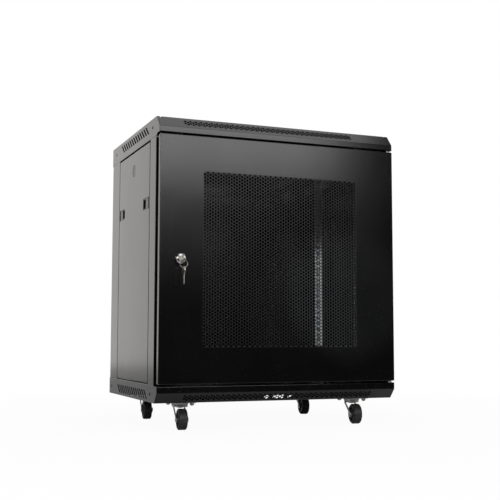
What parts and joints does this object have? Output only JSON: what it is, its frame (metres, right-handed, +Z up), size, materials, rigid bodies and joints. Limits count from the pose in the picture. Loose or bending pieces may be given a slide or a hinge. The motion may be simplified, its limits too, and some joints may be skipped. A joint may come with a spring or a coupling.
{
  "type": "network server rack cabinet",
  "caption": "Low black sheet-steel cabinet for 19-inch equipment, with a perforated key-locked front door, lift-off side panels, slanted vent slots and swivel casters.",
  "frame": {"origin": "on the floor, in the middle of the footprint that the closed cabinet covers with its keys in the lock", "axes": "+Z up, +X to the cabinet's right as seen from the front, front door towards -Y"},
  "size_m": [0.6, 0.4902, 0.713],
  "materials": {
    "black_powder_coat": "semi-matt powder coat with a fine texture",
    "zinc_plate": "bright zinc plating, faintly blue",
    "lock_chrome": "polished chrome",
    "key_steel": "nickel-plated, lightly worn",
    "black_plastic": "moulded, fine grain",
    "caster_tread": "moulded black tread on a black hub"
  },
  "bodies": {
    "frame": {"roof_panel": "black_powder_coat", "roof_cable_cover": "black_powder_coat", "roof_side_left": "black_powder_coat", "roof_side_right": "black_powder_coat", "roof_front_fascia": "black_powder_coat", "roof_rear_beam": "black_powder_coat", "base_floor": "black_powder_coat", "base_side_left": "black_powder_coat", "base_side_right": "black_powder_coat", "base_front_fascia": "black_powder_coat", "base_rear_beam": "black_powder_coat", "post_front_left": "black_powder_coat", "post_front_right": "black_powder_coat", "post_rear_left": "black_powder_coat", "post_rear_right": "black_powder_coat", "brace_lower_left": "black_powder_coat", "brace_lower_right": "black_powder_coat", "brace_upper_left": "black_powder_coat", "brace_upper_right": "black_powder_coat", "rear_panel": "black_powder_coat", "rail_front_left": "zinc_plate", "rail_front_right": "zinc_plate", "rail_rear_left": "zinc_plate", "rail_rear_right": "zinc_plate", "hinge_pin_bottom": "zinc_plate", "caster_front_left_plate": "zinc_plate", "caster_front_right_plate": "zinc_plate", "caster_rear_left_plate": "zinc_plate", "caster_rear_right_plate": "zinc_plate"},
    "door": {"door_skin": "black_powder_coat", "door_stiffener_left": "black_powder_coat", "door_stiffener_right": "black_powder_coat", "hinge_pin_guide": "black_powder_coat", "lock_barrel": "lock_chrome"},
    "top_pin": {"hinge_pin_top": "zinc_plate"},
    "lock_core": {"lock_plug": "key_steel", "lock_cam": "zinc_plate", "lock_key": "key_steel"},
    "key_ring": {"key_ring": "key_steel"},
    "spare_key": {"spare_key": "key_steel"},
    "side_left": {"side_panel_left": "black_powder_coat", "panel_blank_left": "black_plastic"},
    "latch_front_left": {"latch_front_left": "black_plastic"},
    "latch_rear_left": {"latch_rear_left": "black_plastic"},
    "side_right": {"side_panel_right": "black_powder_coat", "panel_blank_right": "black_plastic"},
    "latch_front_right": {"latch_front_right": "black_plastic"},
    "latch_rear_right": {"latch_rear_right": "black_plastic"},
    "swivel_front_left": {"caster_front_left_fork": "zinc_plate", "caster_front_left_axle": "zinc_plate"},
    "wheel_front_left": {"caster_front_left_wheel": "caster_tread"},
    "swivel_front_right": {"caster_front_right_fork": "zinc_plate", "caster_front_right_axle": "zinc_plate"},
    "wheel_front_right": {"caster_front_right_wheel": "caster_tread"},
    "swivel_rear_left": {"caster_rear_left_fork": "zinc_plate", "caster_rear_left_axle": "zinc_plate"},
    "wheel_rear_left": {"caster_rear_left_wheel": "caster_tread"},
    "swivel_rear_right": {"caster_rear_right_fork": "zinc_plate", "caster_rear_right_axle": "zinc_plate"},
    "wheel_rear_right": {"caster_rear_right_wheel": "caster_tread"}
  },
  "joints": [
    {"name": "door_hinge", "type": "hinge", "parent": "frame", "child": "door", "pos_m": [0.29, -0.19935, 0.385], "axis": [0, 0, 1], "range_deg": [0, 175]},
    {"name": "pin_release", "type": "slide", "parent": "door", "child": "top_pin", "axis": [0, 0, -1], "range_m": [0, 0.009], "stiffness_N_per_m": 300, "springref_m": -0.01},
    {"name": "lock_turn", "type": "hinge", "parent": "door", "child": "lock_core", "pos_m": [-0.249, -0.20985, 0.385], "axis": [0, 1, 0], "range_deg": [0, 90]},
    {"name": "ring_swing", "type": "hinge", "parent": "lock_core", "child": "key_ring", "pos_m": [-0.249, -0.23515, 0.381], "axis": [1, 0, 0], "range_deg": [-70, 10]},
    {"name": "spare_key_swing", "type": "hinge", "parent": "key_ring", "child": "spare_key", "pos_m": [-0.249, -0.23515, 0.3638], "axis": [1, 0, 0], "range_deg": [-45, 15]},
    {"name": "side_panel_left_pull", "type": "slide", "parent": "frame", "child": "side_left", "axis": [-1, 0, 0], "range_m": [0, 0.12]},
    {"name": "latch_front_left_slide", "type": "slide", "parent": "side_left", "child": "latch_front_left", "axis": [0, -1, 0], "range_m": [0, 0.007]},
    {"name": "latch_rear_left_slide", "type": "slide", "parent": "side_left", "child": "latch_rear_left", "axis": [0, 1, 0], "range_m": [0, 0.007]},
    {"name": "side_panel_right_pull", "type": "slide", "parent": "frame", "child": "side_right", "axis": [1, 0, 0], "range_m": [0, 0.12]},
    {"name": "latch_front_right_slide", "type": "slide", "parent": "side_right", "child": "latch_front_right", "axis": [0, -1, 0], "range_m": [0, 0.007]},
    {"name": "latch_rear_right_slide", "type": "slide", "parent": "side_right", "child": "latch_rear_right", "axis": [0, 1, 0], "range_m": [0, 0.007]},
    {"name": "swivel_front_left", "type": "hinge", "parent": "frame", "child": "swivel_front_left", "pos_m": [-0.222, -0.12935, 0.05], "axis": [0, 0, 1], "continuous": true},
    {"name": "wheel_front_left", "type": "hinge", "parent": "swivel_front_left", "child": "wheel_front_left", "pos_m": [-0.22505, -0.15416, 0.024], "axis": [0.9925, -0.1219, 0], "continuous": true},
    {"name": "swivel_front_right", "type": "hinge", "parent": "frame", "child": "swivel_front_right", "pos_m": [0.222, -0.12935, 0.05], "axis": [0, 0, 1], "continuous": true},
    {"name": "wheel_front_right", "type": "hinge", "parent": "swivel_front_right", "child": "wheel_front_right", "pos_m": [0.21895, -0.15416, 0.024], "axis": [0.9925, -0.1219, 0], "continuous": true},
    {"name": "swivel_rear_left", "type": "hinge", "parent": "frame", "child": "swivel_rear_left", "pos_m": [-0.222, 0.16965, 0.05], "axis": [0, 0, 1], "continuous": true},
    {"name": "wheel_rear_left", "type": "hinge", "parent": "swivel_rear_left", "child": "wheel_rear_left", "pos_m": [-0.22505, 0.14484, 0.024], "axis": [0.9925, -0.1219, 0], "continuous": true},
    {"name": "swivel_rear_right", "type": "hinge", "parent": "frame", "child": "swivel_rear_right", "pos_m": [0.222, 0.16965, 0.05], "axis": [0, 0, 1], "continuous": true},
    {"name": "wheel_rear_right", "type": "hinge", "parent": "swivel_rear_right", "child": "wheel_rear_right", "pos_m": [0.21895, 0.14484, 0.024], "axis": [0.9925, -0.1219, 0], "continuous": true}
  ]
}
